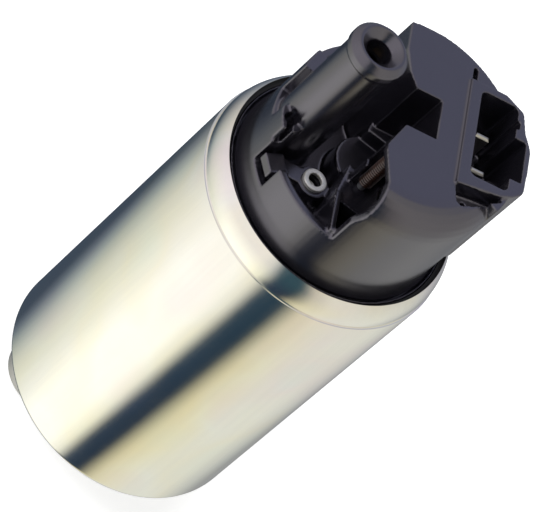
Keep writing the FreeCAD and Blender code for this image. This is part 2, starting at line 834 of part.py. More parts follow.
def outlet_cover():
    """The black moulding that closes the pump and carries outlet, plug socket and brushes."""
    floor = well_floor - lap
    body = cover_flange().fuse([far_rim(), tower()])
    body = body.cut(cover_well())
    body = body.cut(lug_notch())
    body = body.fuse([nipple(), cyl(post_r, floor, post_top, relief_x, relief_y),
                      cyl(centre_hub_r, floor, centre_hub_top),
                      brush_channel(0, floor, choke_foot, channel_wall),
                      brush_channel(1, floor, channel_roof + lap, channel_wall),
                      shield(floor), keyhole_pad(floor), near_rib(floor), lug()])
    for recess in top_recesses():
        body = body.cut(recess)
    socket = socket_plan(socket_foot, socket_top)
    body = body.fuse([socket.cut(cyl(boss_r - boss_wall, socket_foot, cavity_floor)), stay()])
    cuts = [socket_cavity(), keyhole(),
            block(notch_left - overcut, notch_right, notch_near, notch_far, notch_floor,
                  tower_top + lap),
            cyl(nipple_bore_r, valve_chamber_roof, nipple_top, nipple_x, nipple_y),
            cyl(valve_chamber_r, cover_underside, valve_chamber_roof, nipple_x, nipple_y),
            cyl(relief_bore_r, relief_seat_z, post_top, relief_x, relief_y),
            cyl(relief_seat_r, cover_underside, relief_seat_z, relief_x, relief_y)]
    for side in (0, 1):
        cuts.append(brush_channel(side, cover_underside, channel_roof))
        cuts.append(terminal(side, hair_gap))
    for cut in cuts:
        body = body.cut(cut)
    return body


def terminal(side, grow=0.0):
    """A blade up into the socket, and a strap through the cover to its brush."""
    sign = -1 if side == 0 else 1
    y = pin_mid_y + sign * pin_half_pitch
    half = pin_thick / 2 + grow
    wide = pin_wide / 2 + grow
    z0 = strap_a_z if side == 0 else channel_roof
    z1 = z0 + strap_thick
    lead_x, lead_y = polar(brush_out, brush_azimuth + 180.0)
    run = choke_y if side == 0 else lead_y
    end = hollow_right - pin_thick - tail_clear if side == 0 else lead_x - strap_over
    low, high = sorted((y, run))
    blade = block(pin_x - wide, pin_x + wide, y - half, y + half, z0 - grow, pin_top)
    pieces = [block(pin_x - wide, pin_x + wide, low - half, high + half, z0 - grow, z1 + grow),
              block(end - grow, pin_x, run - wide, run + wide, z0 - grow, z1 + grow)]
    if side == 0:
        pieces.append(block(end - grow, end + pin_thick + grow, run - wide, run + wide, z0,
                            tail_top))
    body = blade.fuse(pieces).removeSplitter()
    if grow > 0:
        return body
    tip = [e for e in body.Edges if abs(e.BoundBox.ZMin - pin_top) < same]
    return body.makeChamfer(pin_bevel, tip)


def choke_core():
    return cyl(choke_core_r, choke_foot, choke_foot + choke_core_length, choke_x, choke_y)


def arc_along(start, direction, end):
    """Arc that leaves a point in a direction and ends at another point."""
    chord = end - start
    side = direction.cross(chord).cross(direction)
    side.normalize()
    radius = chord.dot(chord) / (2 * chord.dot(side))
    centre = start + side * radius
    out = (start + end) * 0.5 - centre
    out.normalize()
    return Part.Arc(start, centre + out * radius, end).toShape()


def biarc(a, along_a, b, along_b):
    """Two arcs from a to b that share a tangent where they meet and fit both directions."""
    chord = b - a
    both = along_a + along_b
    square = 2 + 2 * along_a.dot(along_b) - 4
    linear = -2 * chord.dot(both)
    root = math.sqrt(linear ** 2 - 4 * square * chord.dot(chord))
    length = min(value for value in ((-linear - root) / (2 * square),
                                     (-linear + root) / (2 * square)) if value > 0)
    before = a + along_a * length
    after = b - along_b * length
    middle = (before + after) * 0.5
    along = after - before
    along.normalize()
    return [arc_along(a, along_a, middle), arc_along(middle, along, b)]


def least_gap(edges, wire_r, apart):
    """Least gap of a wire to itself, between points at least so far apart along it."""
    points = []
    walked = []
    far = 0.0
    for edge in edges:
        for point in edge.discretize(Distance=wire_r)[:-1]:
            if points:
                far += point.distanceToPoint(points[-1])
            points.append(point)
            walked.append(far)
    return min(p.distanceToPoint(q) for i, p in enumerate(points)
               for q, s in zip(points[i:], walked[i:]) if s - walked[i] > apart) - 2 * wire_r


def choke_coil():
    """One unbroken wire wound round the ferrite rod, with straight ends."""
    radius = choke_core_r + hair_gap + choke_wire_r
    start = choke_foot + (choke_core_length - choke_turns * choke_pitch) / 2
    slope = choke_pitch / (2 * math.pi * radius)

    def at(half_turns):
        px, py = polar(radius, 180.0 * half_turns)
        return Vector(choke_x + px, choke_y + py, start + choke_pitch * half_turns / 2)

    def along(half_turns):
        tx, ty = polar(1.0, 180.0 * half_turns + 90.0)
        direction = Vector(tx, ty, slope)
        direction.normalize()
        return direction

    count = 2 * choke_turns
    lead = 2 * choke_wire_r
    edges = [Part.makeLine(at(0) - along(0) * lead, at(0))]
    for i in range(count):
        edges += biarc(at(i), along(i), at(i + 1), along(i + 1))
    edges.append(Part.makeLine(at(count), at(count) + along(count) * lead))
    print("choke wire's least gap to itself",
          round(least_gap(edges, choke_wire_r, choke_pitch * 2), 3))
    first = edges[0].Vertexes[0].Point
    across = along(0).cross(Vector(0, 0, 1))
    across.normalize()
    upward = across.cross(along(0))
    corners = []
    for i in range(choke_wire_sides):
        px, py = polar(choke_wire_r, 360.0 * i / choke_wire_sides)
        corners.append(first + across * px + upward * py)
    section = Part.makePolygon(corners + corners[:1])
    return Part.Wire(edges).makePipeShell([section], True, False)


def cover_seal():
    """Rubber ring under the rolled lip."""
    return tube(press_r, seal_inner_r, seal_bottom, lip_under)


def in_nipple(shape):
    shape.translate(Vector(nipple_x, nipple_y, 0))
    return shape


def in_post(shape):
    shape.translate(Vector(relief_x, relief_y, 0))
    return shape


def check_valve_seat():
    """Ring pressed into the nipple's chamber, with a conical seat on top."""
    z1 = valve_seat_bottom + valve_seat_length
    outer = valve_chamber_r - press_gap
    return in_nipple(revolved([(valve_hole_r, valve_seat_bottom), (outer, valve_seat_bottom),
                               (outer, z1), (valve_hole_r + valve_cone, z1),
                               (valve_hole_r, z1 - valve_cone)]))


def check_valve_poppet():
    """Disc with a nose in the seat and a long stem."""
    z0 = valve_seat_bottom + valve_seat_length + hair_gap
    z1 = z0 + poppet_head
    nose_r = valve_hole_r - poppet_nose / 2
    return in_nipple(revolved([(0.0, z0 - poppet_nose), (nose_r, z0 - poppet_nose),
                               (nose_r + poppet_nose, z0), (poppet_r, z0), (poppet_r, z1),
                               (poppet_stem_r, z1), (poppet_stem_r, poppet_stem_top),
                               (0.0, poppet_stem_top)]))


def check_valve_guide():
    """Spider in the top of the chamber that guides the poppet's stem."""
    z1 = valve_chamber_roof
    z0 = z1 - guide_height
    spoke = block(0, valve_chamber_r - seat_gap, -guide_spoke / 2, guide_spoke / 2, z0, z1)
    body = cyl(guide_hub_r, z0, z1).fuse(spread(spoke, guide_spoke_count))
    return in_nipple(body.removeSplitter().cut(cyl(poppet_stem_r + running_gap, z0, z1)))


def check_valve_spring():
    z0 = valve_seat_bottom + valve_seat_length + hair_gap + poppet_head
    return in_nipple(tube(valve_spring_r, valve_spring_hole_r, z0,
                          valve_chamber_roof - guide_height))


def relief_poppet():
    """Short plunger with a conical nose in the relief valve's seat."""
    z0 = relief_seat_z + hair_gap
    nose_r = relief_seat_r - relief_nose / 2
    return in_post(revolved([(0.0, z0 - relief_nose / 2), (nose_r, z0 - relief_nose / 2),
                             (relief_poppet_r, z0 + relief_nose),
                             (relief_poppet_r, z0 + relief_poppet_length),
                             (0.0, z0 + relief_poppet_length)]))


def relief_spring():
    """From the plunger to the sleeve."""
    return in_post(tube(relief_spring_r, relief_spring_hole_r,
                        relief_seat_z + hair_gap + relief_poppet_length,
                        post_top - sleeve_shank))


def relief_sleeve():
    """Bright flanged ring pressed into the relief valve's post."""
    z0 = post_top - sleeve_shank
    z1 = post_top + sleeve_flange
    shank_r = relief_bore_r - press_gap
    return in_post(revolved([(sleeve_hole_r, z0), (shank_r, z0), (shank_r, post_top),
                             (sleeve_r, post_top), (sleeve_r, z1), (sleeve_hole_r, z1)]))


def build():
    parts = {
        "shell": shell(),
        "inlet_cover": inlet_cover(),
        "thrust_button": thrust_button(),
        "impeller": impeller(),
        "pump_casing": pump_casing(),
        "lower_bearing": lower_bearing(),
        "shaft": shaft(),
        "thrust_washer": thrust_washer(),
        "magnet_a": magnet(0.0),
        "magnet_b": magnet(180.0),
        "magnet_clips": magnet_clips(),
        "armature_core": armature_core(),
        "armature_windings": armature_windings(),
        "commutator_base": commutator_base(),
        "commutator_segments": commutator_segments(),
        "brush_plate": brush_plate(),
        "upper_bearing": upper_bearing(),
        "outlet_cover": outlet_cover(),
        "cover_seal": cover_seal(),
        "check_valve_seat": check_valve_seat(),
        "check_valve_poppet": check_valve_poppet(),
        "check_valve_spring": check_valve_spring(),
        "check_valve_guide": check_valve_guide(),
        "relief_poppet": relief_poppet(),
        "relief_spring": relief_spring(),
        "relief_sleeve": relief_sleeve(),
        "choke_core": choke_core(),
        "choke_coil": choke_coil(),
    }
    for side, letter in enumerate("ab"):
        parts["brush_" + letter] = brush(side)
        parts["brush_spring_" + letter] = brush_spring(side)
        parts["brush_lead_" + letter] = brush_lead(side)
        parts["terminal_" + letter] = terminal(side)
    return parts


def main():
    os.makedirs("parts", exist_ok=True)
    for name, shape in build().items():
        shape.translate(Vector(0, 0, -clamp_height))
        shape.exportStep("parts/" + name + ".step")
        print(name, len(shape.Solids), shape.isValid(), round(shape.Volume, 2))


main()
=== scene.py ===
import math

import bmesh
import bpy
from mathutils import Matrix, Vector


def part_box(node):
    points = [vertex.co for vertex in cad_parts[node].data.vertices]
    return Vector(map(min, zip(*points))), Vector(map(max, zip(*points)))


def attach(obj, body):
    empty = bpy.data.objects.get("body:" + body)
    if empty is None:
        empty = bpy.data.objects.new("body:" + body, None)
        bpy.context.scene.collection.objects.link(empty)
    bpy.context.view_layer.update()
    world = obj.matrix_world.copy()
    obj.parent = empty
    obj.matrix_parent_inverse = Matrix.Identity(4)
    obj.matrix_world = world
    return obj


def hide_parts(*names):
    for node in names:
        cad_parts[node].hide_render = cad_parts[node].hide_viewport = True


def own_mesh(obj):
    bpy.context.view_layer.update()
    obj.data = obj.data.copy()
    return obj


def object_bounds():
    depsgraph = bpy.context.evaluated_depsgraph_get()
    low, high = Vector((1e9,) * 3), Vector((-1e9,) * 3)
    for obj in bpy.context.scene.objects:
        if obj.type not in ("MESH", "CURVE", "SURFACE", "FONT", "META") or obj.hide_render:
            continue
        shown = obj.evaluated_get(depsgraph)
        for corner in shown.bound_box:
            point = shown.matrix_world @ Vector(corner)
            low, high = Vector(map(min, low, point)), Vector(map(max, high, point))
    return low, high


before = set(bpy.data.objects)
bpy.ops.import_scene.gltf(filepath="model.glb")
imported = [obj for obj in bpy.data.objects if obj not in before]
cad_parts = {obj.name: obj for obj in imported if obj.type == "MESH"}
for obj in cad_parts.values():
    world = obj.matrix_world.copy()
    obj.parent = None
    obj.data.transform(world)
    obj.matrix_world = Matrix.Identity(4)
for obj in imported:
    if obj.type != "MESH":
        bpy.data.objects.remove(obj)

cad_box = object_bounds()
MM = 0.001

# The steel shell, in millimetres from its own middle
SHELL_R = 19.0
SHELL_LOW = -28.5
SHELL_HIGH = 31.5
SHELL_BORE_R = 18.0
BAND_LOW = 27.3
BAND_R = 18.75
LIP_R = 17.5
LIP_UNDER = 30.65
FOOT_R = 16.5
FOOT_OVER = -27.7
FOOT_CORNER = 1.2
ROLL_TURN = 39.3           # degrees that the upper lip turns in
ROLL = (BAND_R - LIP_R) / (1.0 - math.cos(math.radians(ROLL_TURN)))
STEP_START = 0.12          # the soft step from the full wall to the thinned band
STEP_SOFT = 0.04
STEP_FOOT = 0.06
STEP_END = 0.08
FOOT_EDGE = 0.25           # the round inner edge of the lower lip
SHELL_SIDES = 240
FOOT_STEPS = 10
ROLL_STEPS = 14
EDGE_STEPS = 4

# The nipple and its funnelled mouth
NIPPLE = (-11.18, 0.93)
NIPPLE_TOP = 59.8
NIPPLE_BORE_R = 1.8
FUNNEL_R = 3.15
FUNNEL_DEEP = 1.15
FUNNEL_REACH = 3.5

# The cove at the boss's foot and the bead that holds the seal in
BOSS_R = 15.8
COVE_TOP = 33.6
COVE_LOW = 30.9
COVE_FOOT = 29.2
COVE_OUT = 0.55
COVE_SKIN = 0.14           # only points this near the boss wall move
BEAD_R = 16.7
BEAD_HALF = 0.24
BEAD_LOW = 29.9
BEAD_GROWTH = 1.75
BEAD_CROWN = 0.5           # how far the bead falls off towards its sides

# The relief valve's sleeve
SLEEVE_R = 1.75
SLEEVE_FLANGE = 0.6
SLEEVE_SHANK = 0.3
SLEEVE_SHANK_R = 1.38
SLEEVE_WALL = 0.08
SLEEVE_HOLE_R = 1.0
SLEEVE_EDGE = 0.06         # broken edge under the flange
SLEEVE_ROUND = 0.15
SLEEVE_LIP = 0.12
SLEEVE_HOLE_DEEP = 0.25
SLEEVE_THROAT = 0.35       # from the face to where the hole widens
SLEEVE_STEPS = 5
SLEEVE_SIDES = 96

# The choke
CHOKE = (-1.5, -5.4)
CHOKE_R = 0.85
CHOKE_WIRE = 0.2
CHOKE_TURNS = 15
CHOKE_PITCH = 0.436
CHOKE_FOOT = 40.2
CHOKE_LENGTH = 8.6
CHOKE_TAIL = 2.0           # straight end of the wire, in wire radii
CHOKE_STEPS = 28           # points in one turn
CHOKE_SIDES = 12

# The springs: node, wire radius in millimetres, open turns and the joint that squashes it
SPRINGS = [("check_valve_spring", 0.22, 7, "check_valve_slide"),
           ("relief_spring", 0.18, 3, "relief_slide"),
           ("brush_spring_a", 0.25, 4, "brush_a_slide"),
           ("brush_spring_b", 0.25, 4, "brush_b_slide")]
END_TURNS = 1.2            # closed turns at each end
END_RISE = 2.2             # what they climb, in wire radii
SPRING_STEPS = 20
SPRING_SIDES = 8

# How smooth the meshes are
SHARP_ANGLE = 35.0         # edges that turn by more degrees stay sharp
BEVEL_SAMPLES = 4
COVER_VOXEL = 0.17         # millimetres
WELD = 1e-7                # metres
SMOOTH_FACTOR = 0.5
SMOOTH_PASSES = 4
KEPT_SHARE = 0.35          # of the moulding's faces

# Studio levels. The two bands give the colour that metal mirrors from below and from above,
# each at so many degrees round the pump from the camera's side.
FRONT = -120.0             # the camera's side
AMBIENT = 0.25
FLOOR_GLOW = 0.62
BELOW = [(-180, (0.05, 0.07, 0.10)), (-130, (0.05, 0.07, 0.10)), (-118, (0.13, 0.16, 0.20)),
         (-107, (0.30, 0.34, 0.35)), (-97, (0.48, 0.51, 0.48)), (-86, (0.66, 0.67, 0.60)),
         (-72, (0.80, 0.80, 0.69)), (-55, (0.96, 0.95, 0.87)), (-36, (1.20, 1.18, 1.10)),
         (-6, (1.20, 1.18, 1.08)), (7, (0.95, 0.93, 0.80)), (17, (0.03, 0.05, 0.09)),
         (33, (0.015, 0.03, 0.06)), (41, (0.45, 0.42, 0.30)), (48, (0.74, 0.68, 0.48)),
         (62, (0.80, 0.77, 0.60)), (80, (0.78, 0.78, 0.71)), (110, (0.76, 0.76, 0.70)),
         (130, (0.58, 0.58, 0.56)), (150, (0.32, 0.33, 0.34))]
ABOVE = [(-180, (0.40, 0.42, 0.55)), (-150, (0.43, 0.44, 0.54)), (-120, (0.6, 0.57, 0.58)),
         (-60, (0.90, 0.85, 0.87)), (0, (0.9, 0.86, 0.86)), (9, (0.7, 0.68, 0.68)),
         (17, (0.03, 0.07, 0.10)), (36, (0.03, 0.07, 0.10)), (46, (0.60, 0.55, 0.48)),
         (62, (0.78, 0.74, 0.66)), (120, (0.62, 0.60, 0.56)), (150, (0.43, 0.44, 0.54)),
         (180, (0.40, 0.42, 0.55))]
BLEND_LOW = -0.66          # BELOW turns into ABOVE between these heights of a unit direction
BLEND_HIGH = 0.1

# The floor, in metres: half its side, its gap under the pump, and its finish
FLOOR_SIZE = 3.0
FLOOR_GAP = 0.0002
FLOOR_SHADE = 0.8
FLOOR_ROUGH = 0.9

# Lamps: name, azimuth, elevation, distance and size in metres, and power in watts
LAMPS = [("key_left", 175.0, 38.0, 0.9, 0.5, 5.0),
         ("fill_right", -35.0, 25.0, 0.9, 0.6, 2.5),
         ("top_back", 60.0, 60.0, 1.0, 0.5, 2.0)]

# The camera, fitted to the outline in the photograph: degrees, millimetres of lens, and metres
VIEW_ELEVATION = 47.18
VIEW_AZIMUTH = -30.0
VIEW_ROLL = 48.56
VIEW_LENS = 297.33
VIEW_SENSOR = 36.0
VIEW_NEAR = 0.01
VIEW_PLACE = (-0.20859, -0.36197, 0.46296)


# Materials

class Graph:
    """Short hand for a material's nodes."""

    def __init__(self, name):
        self.material = bpy.data.materials.new(name)
        self.material.use_nodes = True
        self.tree = self.material.node_tree
        self.shader = self.tree.nodes["Principled BSDF"]
        self.place = self.tree.nodes.new("ShaderNodeTexCoord").outputs["Object"]

    def node(self, kind, **inputs):
        made = self.tree.nodes.new(kind)
        for key, value in inputs.items():
            self.put(made.inputs[key.replace("_", " ")], value)
        return made

    def put(self, socket, value):
        if isinstance(value, bpy.types.NodeSocket):
            self.tree.links.new(value, socket)
        else:
            socket.default_value = value

    def stretched(self, x, y, z):
        made = self.node("ShaderNodeMapping", Vector=self.place)
        made.inputs["Scale"].default_value = (x, y, z)
        return made.outputs["Vector"]

    def noise(self, scale, detail=3.0, rough=0.55, where=None):
        made = self.node("ShaderNodeTexNoise", Vector=where or self.place, Scale=scale,
                         Detail=detail, Roughness=rough)
        return made.outputs["Fac"]

    def ramp(self, value, stops):
        made = self.node("ShaderNodeValToRGB", Fac=value)
        band = made.color_ramp
        while len(band.elements) < len(stops):
            band.elements.new(0.5)
        for element, (at, colour) in zip(band.elements, stops):
            element.position = at
            if not isinstance(colour, tuple):
                colour = (colour, colour, colour)
            element.color = (*colour, 1.0)
        return made.outputs["Color"]

    def mix(self, share, a, b, kind="MIX"):
        made = self.tree.nodes.new("ShaderNodeMix")
        made.data_type = "RGBA"
        made.blend_type = kind
        for socket, value in ((made.inputs[0], share), (made.inputs[6], a),
                              (made.inputs[7], b)):
            if isinstance(value, tuple) and len(value) == 3:
                value = (*value, 1.0)
            self.put(socket, value)
        return made.outputs[2]

    def span(self, value, low, high):
        made = self.node("ShaderNodeMapRange", Value=value)
        made.inputs["To Min"].default_value = low
        made.inputs["To Max"].default_value = high
        return made.outputs["Result"]

    def rounded(self, radius):
        """The normal with its edges softened."""
        made = self.node("ShaderNodeBevel", Radius=radius)
        made.samples = BEVEL_SAMPLES
        return made.outputs["Normal"]

    def edges(self, radius):
        """About 1 along convex and concave edges, and 0 on plain surfaces."""
        soft = self.rounded(radius)
        flat = self.tree.nodes.new("ShaderNodeNewGeometry").outputs["Normal"]
        dot = self.tree.nodes.new("ShaderNodeVectorMath")
        dot.operation = "DOT_PRODUCT"
        self.put(dot.inputs[0], soft)
        self.put(dot.inputs[1], flat)
        return self.ramp(dot.outputs["Value"], [(0.75, 1.0), (0.985, 0.0)])

    def bump(self, height, strength, distance, normal=None):
        made = self.node("ShaderNodeBump", Height=height, Strength=strength,
                         Distance=distance)
        if normal is not None:
            self.put(made.inputs["Normal"], normal)
        return made.outputs["Normal"]


def finish(name, colours, rough, grain, metal=0.0, relief=0.00001, edge=0.0002,
           wear_and_highlight=None, spots=60.0, specular=0.5, streaks=None, ior=1.5,
           gleam=(1.0, 1.0, 1.0)):
    """A moulded, cast, pressed or plated surface: two tones, grain, soft edges, and lighter
    edges that stand partly for wear and partly for a painted edge highlight.
    """
    g = Graph(name)
    broad = g.noise(spots, 4.0)
    fine = g.noise(grain, 3.0, 0.65, g.stretched(*streaks) if streaks else None)
    tone = g.mix(g.ramp(broad, [(0.3, 0.0), (0.7, 1.0)]), colours[0], colours[1])
    tone = g.mix(g.ramp(fine, [(0.35, 0.12), (0.75, 0.0)]), tone,
                 tuple(c * 0.6 for c in colours[0]))
    # Lighter colour on convex and concave edges alike, broken up by noise: partly wear, partly
    # a painted edge highlight.
    if wear_and_highlight:
        share = g.mix(g.noise(grain * 0.4), (0.0, 0.0, 0.0), g.edges(edge))
        tone = g.mix(share, tone, wear_and_highlight)
    g.put(g.shader.inputs["Base Color"], tone)
    g.shader.inputs["Metallic"].default_value = metal
    g.shader.inputs["Specular IOR Level"].default_value = specular
    g.shader.inputs["IOR"].default_value = ior
    g.shader.inputs["Specular Tint"].default_value = (*gleam, 1.0)
    both = g.mix(0.5, broad, fine)
    g.put(g.shader.inputs["Roughness"], g.span(both, rough[0], rough[1]))
    g.put(g.shader.inputs["Normal"], g.bump(fine, 0.5, relief, g.rounded(edge)))
    return g.material


def zinc_plate():
    """Zinc plating with a thin, faintly coloured passivation film."""
    g = Graph("zinc_plated_steel")
    wide = g.noise(55.0, 2.0, 0.5, g.stretched(1.0, 1.0, 0.6))
    drift = g.noise(140.0, 3.0, 0.6)
    lines = g.noise(1500.0, 2.0, 0.6, g.stretched(1.0, 1.0, 0.03))
    tint = g.ramp(wide, [(0.32, (0.90, 0.93, 0.84)), (0.42, (0.95, 0.93, 0.80)),
                         (0.50, (0.94, 0.94, 0.88)), (0.60, (0.93, 0.88, 0.86)),
                         (0.70, (0.86, 0.90, 0.90))])
    tone = g.mix(g.ramp(drift, [(0.35, 0.0), (0.75, 0.35)]), tint, (0.93, 0.90, 0.80))
    tone = g.mix(g.ramp(lines, [(0.4, 0.10), (0.7, 0.0)]), tone, (0.72, 0.73, 0.72))
    g.put(g.shader.inputs["Base Color"], tone)
    g.shader.inputs["Metallic"].default_value = 1.0
    g.put(g.shader.inputs["Roughness"], g.span(g.mix(0.4, drift, lines), 0.08, 0.2))
    g.put(g.shader.inputs["Normal"],
          g.bump(lines, 0.12, 0.000006, g.bump(drift, 0.25, 0.00003)))
    return g.material


def copper_wire():
    """Wire under a dark, glossy enamel, with slow shade changes along it."""
    g = Graph("enamelled_copper_wire")
    tone = g.ramp(g.noise(900.0, 3.0), [(0.3, (0.022, 0.012, 0.010)),
                                        (0.7, (0.06, 0.028, 0.018))])
    g.put(g.shader.inputs["Base Color"], tone)
    g.shader.inputs["Metallic"].default_value = 0.35
    g.shader.inputs["Coat Weight"].default_value = 1.0
    g.shader.inputs["Coat Roughness"].default_value = 0.08
    g.put(g.shader.inputs["Roughness"], g.span(g.noise(4000.0), 0.2, 0.4))
    g.put(g.shader.inputs["Normal"], g.bump(g.noise(3000.0), 0.3, 0.00001))
    return g.material


def braid():
    """Woven copper strands: two crossing sets of fine diagonal waves."""
    g = Graph("copper_braid")
    waves = []
    for turn in (0.9, -0.9):
        where = g.node("ShaderNodeMapping", Vector=g.place)
        where.inputs["Rotation"].default_value = (turn, turn, 0.0)
        wave = g.node("ShaderNodeTexWave", Vector=where.outputs["Vector"], Scale=1400.0,
                      Distortion=1.5)
        waves.append(wave.outputs["Fac"])
    weave = g.mix(0.5, waves[0], waves[1])
    tone = g.ramp(weave, [(0.2, (0.22, 0.08, 0.03)), (0.8, (0.72, 0.38, 0.19))])
    g.put(g.shader.inputs["Base Color"], tone)
    g.shader.inputs["Metallic"].default_value = 0.9
    g.put(g.shader.inputs["Roughness"], g.span(weave, 0.45, 0.28))
    g.put(g.shader.inputs["Normal"], g.bump(weave, 0.7, 0.00004))
    return g.material


def laminations():
    """Stacked sheets: fine level lines on the core's sides."""
    g = Graph("stacked_laminations")
    sheets = g.node("ShaderNodeTexWave", Vector=g.stretched(0.02, 0.02, 1.0), Scale=620.0,
                    Distortion=0.4)
    sheets.bands_direction = "Z"
    lines = sheets.outputs["Fac"]
    blotch = g.noise(300.0, 4.0)
    tone = g.mix(g.ramp(lines, [(0.1, 0.5), (0.4, 0.0)]), (0.30, 0.31, 0.33),
                 (0.10, 0.10, 0.11))
    tone = g.mix(g.ramp(blotch, [(0.45, 0.0), (0.75, 0.5)]), tone, (0.24, 0.20, 0.17))
    g.put(g.shader.inputs["Base Color"], tone)
    g.shader.inputs["Metallic"].default_value = 0.85
    g.put(g.shader.inputs["Roughness"], g.span(blotch, 0.35, 0.6))
    g.put(g.shader.inputs["Normal"], g.bump(lines, 0.5, 0.00004, g.rounded(0.0002)))
    return g.material


def materials():
    steel = dict(metal=1.0, relief=0.000006)
    return {
        "zinc_steel": zinc_plate(),
        "die_cast": finish("die_cast_alloy", ((0.50, 0.50, 0.49), (0.60, 0.60, 0.58)),
                           (0.38, 0.62), 2600.0, metal=0.9, relief=0.00003, edge=0.0003,
                           wear_and_highlight=(0.78, 0.78, 0.76)),
        "bearing_steel": finish("ground_bearing_steel",
                                ((0.60, 0.60, 0.62), (0.70, 0.70, 0.72)), (0.12, 0.3),
                                5200.0, edge=0.0001, wear_and_highlight=(0.85, 0.85, 0.86),
                                streaks=(1.0, 1.0, 0.15), **steel),
        "impeller_resin": finish("impeller_phenolic", ((0.10, 0.075, 0.06), (0.14, 0.10, 0.08)),
                                 (0.4, 0.6), 3800.0, relief=0.00002, wear_and_highlight=(0.22, 0.18, 0.15)),
        "bronze": finish("sintered_bronze", ((0.42, 0.27, 0.12), (0.55, 0.37, 0.18)),
                         (0.4, 0.7), 5200.0, metal=0.9, relief=0.00003, edge=0.00015,
                         wear_and_highlight=(0.72, 0.52, 0.28)),
        "ferrite": finish("pressed_ferrite", ((0.075, 0.075, 0.085), (0.12, 0.12, 0.13)),
                          (0.45, 0.7), 4200.0, relief=0.00003, edge=0.0003,
                          wear_and_highlight=(0.20, 0.20, 0.21)),
        "spring_steel": finish("drawn_spring_steel",
                               ((0.45, 0.46, 0.48), (0.58, 0.59, 0.61)), (0.2, 0.4), 6000.0,
                               edge=0.00005, **steel),
        "lamination_steel": laminations(),
        "insulator_board": finish("pressed_insulator_board",
                                  ((0.52, 0.41, 0.24), (0.64, 0.53, 0.34)), (0.55, 0.8),
                                  3600.0, relief=0.00003, wear_and_highlight=(0.74, 0.66, 0.48)),
        "copper_wire": copper_wire(),
        "dark_resin": finish("brush_plate_resin", ((0.035, 0.035, 0.04), (0.055, 0.055, 0.06)),
                             (0.38, 0.58), 3600.0, relief=0.00002, wear_and_highlight=(0.12, 0.12, 0.13)),
        "carbon": finish("pressed_carbon", ((0.045, 0.045, 0.05), (0.08, 0.08, 0.085)),
                         (0.35, 0.65), 5200.0, relief=0.00003, edge=0.00015, specular=0.6,
                         wear_and_highlight=(0.19, 0.19, 0.20)),
        # The moulding's violet-grey edge colour is in part a painted edge highlight, in part
        # wear.
        "cover_resin": finish("cover_moulded_resin",
                              ((0.007, 0.0065, 0.0095), (0.012, 0.011, 0.0155)), (0.19, 0.29),
                              4200.0, relief=0.000008, edge=0.00022, spots=45.0,
                              wear_and_highlight=(0.055, 0.053, 0.066), specular=1.0, ior=1.75,
                              gleam=(0.89, 0.87, 1.0)),
        "rubber": finish("seal_rubber", ((0.018, 0.018, 0.019), (0.032, 0.032, 0.033)),
                         (0.55, 0.8), 3000.0, relief=0.00002, edge=0.0001,
                         wear_and_highlight=(0.06, 0.06, 0.06)),
        "brass": finish("turned_brass", ((0.66, 0.46, 0.18), (0.80, 0.60, 0.29)),
                        (0.18, 0.38), 5200.0, edge=0.0001, wear_and_highlight=(0.9, 0.74, 0.42),
                        streaks=(1.0, 1.0, 8.0), **steel),
        "nickel": finish("nickel_plated_sleeve", ((0.84, 0.83, 0.80), (0.92, 0.91, 0.88)),
                         (0.35, 0.5), 3000.0, metal=0.75, relief=0.000006, edge=0.00015,
                         wear_and_highlight=(0.97, 0.96, 0.93)),
        "copper_braid": braid(),
        "tinned_brass": finish("tinned_brass_pin", ((0.56, 0.55, 0.50), (0.66, 0.65, 0.60)),
                               (0.24, 0.4), 3400.0, metal=1.0, relief=0.000006, edge=0.00015,
                               wear_and_highlight=(0.90, 0.85, 0.70), streaks=(1.0, 1.0, 0.1)),
    }


# Meshes

def keep(name, bm, slot, body, *nodes):
    """Makes a piece of a finished bmesh, rides it and hides what it stands for."""
    mesh = bpy.data.meshes.new(name)
    bmesh.ops.recalc_face_normals(bm, faces=bm.faces)
    bm.to_mesh(mesh)
    bm.free()
    for polygon in mesh.polygons:
        polygon.use_smooth = True
    mesh.set_sharp_from_angle(angle=math.radians(SHARP_ANGLE))
    piece = bpy.data.objects.new(name, mesh)
    bpy.context.scene.collection.objects.link(piece)
    mesh.materials.append(finishes[slot])
    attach(piece, body)
    if nodes:
        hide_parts(*nodes)
    return piece


def lathe(points, steps, centre=(0.0, 0.0)):
    """A ring turned from a closed half section of (radius, height) points, in millimetres."""
    bm = bmesh.new()
    rings = []
    for i in range(steps):
        turn = 2 * math.pi * i / steps
        rings.append([bm.verts.new(((centre[0] + r * math.cos(turn)) * MM,
                                    (centre[1] + r * math.sin(turn)) * MM, z * MM))
                      for r, z in points])
    for i, ring in enumerate(rings):
        after = rings[(i + 1) % steps]
        for j in range(len(points)):
            k = (j + 1) % len(points)
            bm.faces.new((ring[j], after[j], after[k], ring[k]))
    return bm


def bend(centre_r, centre_z, radius, start, end, steps):
    """Points of a round corner in a half section."""
    turns = [math.radians(start + (end - start) * i / steps) for i in range(steps + 1)]
    return [(centre_r + radius * math.cos(t), centre_z + radius * math.sin(t)) for t in turns]


def wire(points, radius, sides):
    """A closed tube that follows points, in metres."""
    bm = bmesh.new()
    rings = []
    up = Vector((0.0, 0.0, 1.0))
    for i, point in enumerate(points):
        ahead = (points[min(i + 1, len(points) - 1)] - points[max(i - 1, 0)]).normalized()
        side = ahead.cross(up).normalized()
        top = side.cross(ahead)
        rings.append([bm.verts.new(point + radius * (math.cos(t) * side + math.sin(t) * top))
                      for t in (2 * math.pi * k / sides for k in range(sides))])
    for a, b in zip(rings, rings[1:]):
        for k in range(sides):
            m = (k + 1) % sides
            bm.faces.new((a[k], b[k], b[m], a[m]))
    bm.faces.new(rings[0])
    bm.faces.new(list(reversed(rings[-1])))
    return bm


